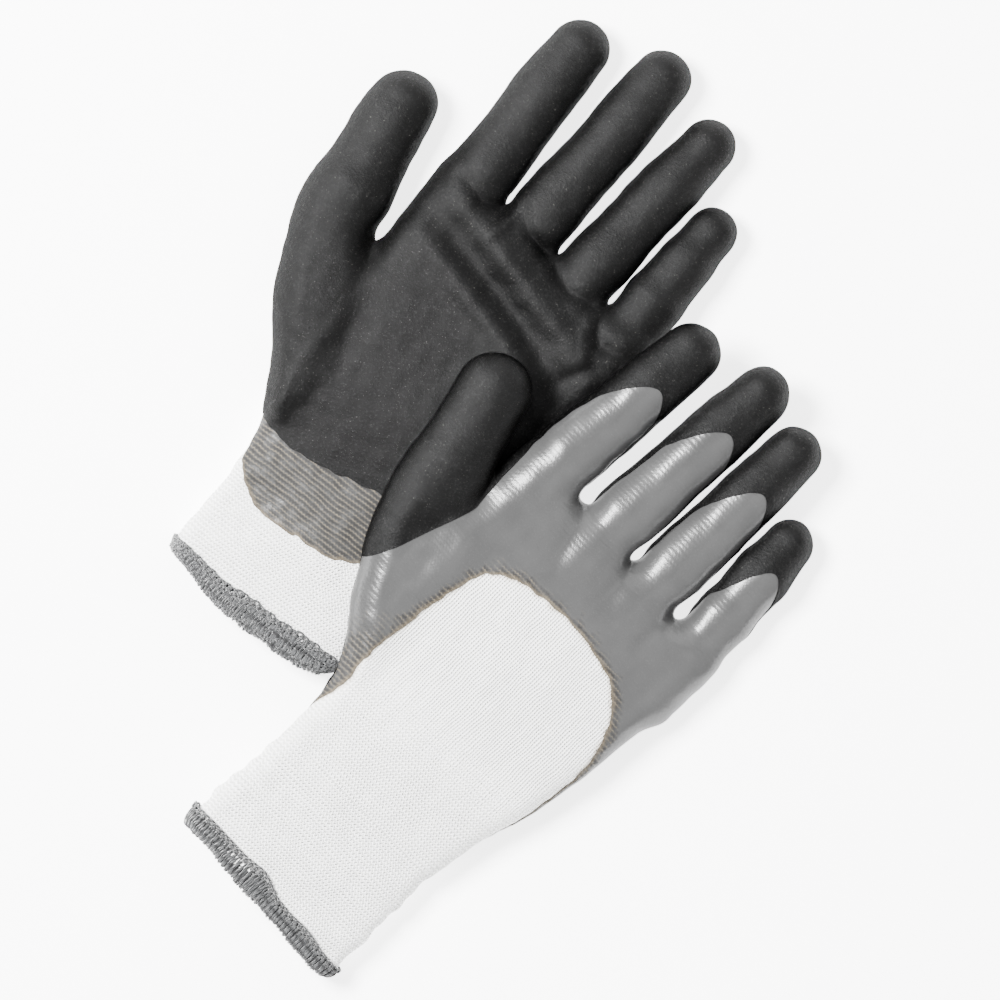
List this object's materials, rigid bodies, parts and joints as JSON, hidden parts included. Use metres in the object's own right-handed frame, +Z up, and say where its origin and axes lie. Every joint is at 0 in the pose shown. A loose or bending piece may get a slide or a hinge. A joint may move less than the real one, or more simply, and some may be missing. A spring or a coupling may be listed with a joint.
{
  "type": "pair of work gloves",
  "caption": "Pair of dipped knitted winter work gloves lying flat, palm up and back up: white knit, smooth grey film, black sandy grip film, brushed lining, overlocked cuffs.",
  "frame": {"origin": "on the table, under the middle of the pair's box", "axes": "+Y from the cuffs to the fingertips, +Z up off the table, thumbs towards -X"},
  "size_m": [0.2044, 0.293, 0.0417],
  "materials": {
    "white_knit": "matte",
    "grey_lining": "matte",
    "grey_nitrile": "satin",
    "black_nitrile": "matte",
    "hem_yarn": "matte",
    "elastic_yarn": "matte"
  },
  "bodies": {
    "left_hand": {"left_hand_liner": "white_knit", "left_hand_lining": "grey_lining", "left_hand_base_coat": "grey_nitrile", "left_hand_grip_coat": "black_nitrile", "left_cuff": "white_knit", "left_cuff_elastic": "elastic_yarn", "left_cuff_hem": "hem_yarn"},
    "left_thumb": {"left_thumb_liner": "white_knit", "left_thumb_lining": "grey_lining", "left_thumb_base_coat": "grey_nitrile", "left_thumb_grip_coat": "black_nitrile"},
    "left_index": {"left_index_liner": "white_knit", "left_index_lining": "grey_lining", "left_index_base_coat": "grey_nitrile", "left_index_grip_coat": "black_nitrile"},
    "left_middle": {"left_middle_liner": "white_knit", "left_middle_lining": "grey_lining", "left_middle_base_coat": "grey_nitrile", "left_middle_grip_coat": "black_nitrile"},
    "left_ring": {"left_ring_liner": "white_knit", "left_ring_lining": "grey_lining", "left_ring_base_coat": "grey_nitrile", "left_ring_grip_coat": "black_nitrile"},
    "left_little": {"left_little_liner": "white_knit", "left_little_lining": "grey_lining", "left_little_base_coat": "grey_nitrile", "left_little_grip_coat": "black_nitrile"},
    "right_hand": {"right_hand_liner": "white_knit", "right_hand_lining": "grey_lining", "right_hand_base_coat": "grey_nitrile", "right_hand_grip_coat": "black_nitrile", "right_cuff": "white_knit", "right_cuff_elastic": "elastic_yarn", "right_cuff_hem": "hem_yarn"},
    "right_thumb": {"right_thumb_liner": "white_knit", "right_thumb_lining": "grey_lining", "right_thumb_base_coat": "grey_nitrile", "right_thumb_grip_coat": "black_nitrile"},
    "right_index": {"right_index_liner": "white_knit", "right_index_lining": "grey_lining", "right_index_base_coat": "grey_nitrile", "right_index_grip_coat": "black_nitrile"},
    "right_middle": {"right_middle_liner": "white_knit", "right_middle_lining": "grey_lining", "right_middle_base_coat": "grey_nitrile", "right_middle_grip_coat": "black_nitrile"},
    "right_ring": {"right_ring_liner": "white_knit", "right_ring_lining": "grey_lining", "right_ring_base_coat": "grey_nitrile", "right_ring_grip_coat": "black_nitrile"},
    "right_little": {"right_little_liner": "white_knit", "right_little_lining": "grey_lining", "right_little_base_coat": "grey_nitrile", "right_little_grip_coat": "black_nitrile"}
  },
  "joints": [
    {"name": "left_thumb_fold", "type": "hinge", "parent": "left_hand", "child": "left_thumb", "pos_m": [-0.0849, 0.04678, 0.02239], "axis": [0.981, 0.1942, 0], "range_deg": [0, 50]},
    {"name": "left_index_fold", "type": "hinge", "parent": "left_hand", "child": "left_index", "pos_m": [-0.05807, 0.07873, 0.01878], "axis": [0.9976, 0.0698, 0], "range_deg": [0, 70]},
    {"name": "left_middle_fold", "type": "hinge", "parent": "left_hand", "child": "left_middle", "pos_m": [-0.03482, 0.08035, 0.01846], "axis": [0.9976, 0.0698, 0], "range_deg": [0, 70]},
    {"name": "left_ring_fold", "type": "hinge", "parent": "left_hand", "child": "left_ring", "pos_m": [-0.01238, 0.08192, 0.01813], "axis": [0.9976, 0.0698, 0], "range_deg": [0, 70]},
    {"name": "left_little_fold", "type": "hinge", "parent": "left_hand", "child": "left_little", "pos_m": [0.00897, 0.08342, 0.01649], "axis": [0.9976, 0.0698, 0], "range_deg": [0, 70]},
    {"name": "right_thumb_fold", "type": "hinge", "parent": "right_hand", "child": "right_thumb", "pos_m": [-0.00179, 0.00282, 0.04138], "axis": [0.9572, 0.2094, -0.1999], "range_deg": [0, 35]},
    {"name": "right_index_fold", "type": "hinge", "parent": "right_hand", "child": "right_index", "pos_m": [0.0231, 0.02865, 0.0333], "axis": [0.9758, -0.0682, -0.2079], "range_deg": [0, 35]},
    {"name": "right_middle_fold", "type": "hinge", "parent": "right_hand", "child": "right_middle", "pos_m": [0.0496, 0.02679, 0.02749], "axis": [0.9758, -0.0682, -0.2079], "range_deg": [0, 35]},
    {"name": "right_ring_fold", "type": "hinge", "parent": "right_hand", "child": "right_ring", "pos_m": [0.07152, 0.02526, 0.02215], "axis": [0.9758, -0.0682, -0.2079], "range_deg": [0, 35]},
    {"name": "right_little_fold", "type": "hinge", "parent": "right_hand", "child": "right_little", "pos_m": [0.09363, 0.02372, 0.01626], "axis": [0.9758, -0.0682, -0.2079], "range_deg": [0, 35]},
    {"name": "right_glove_lift", "type": "slide", "parent": "left_hand", "child": "right_hand", "axis": [0, 0, 1], "range_m": [0, 0.12]}
  ]
}
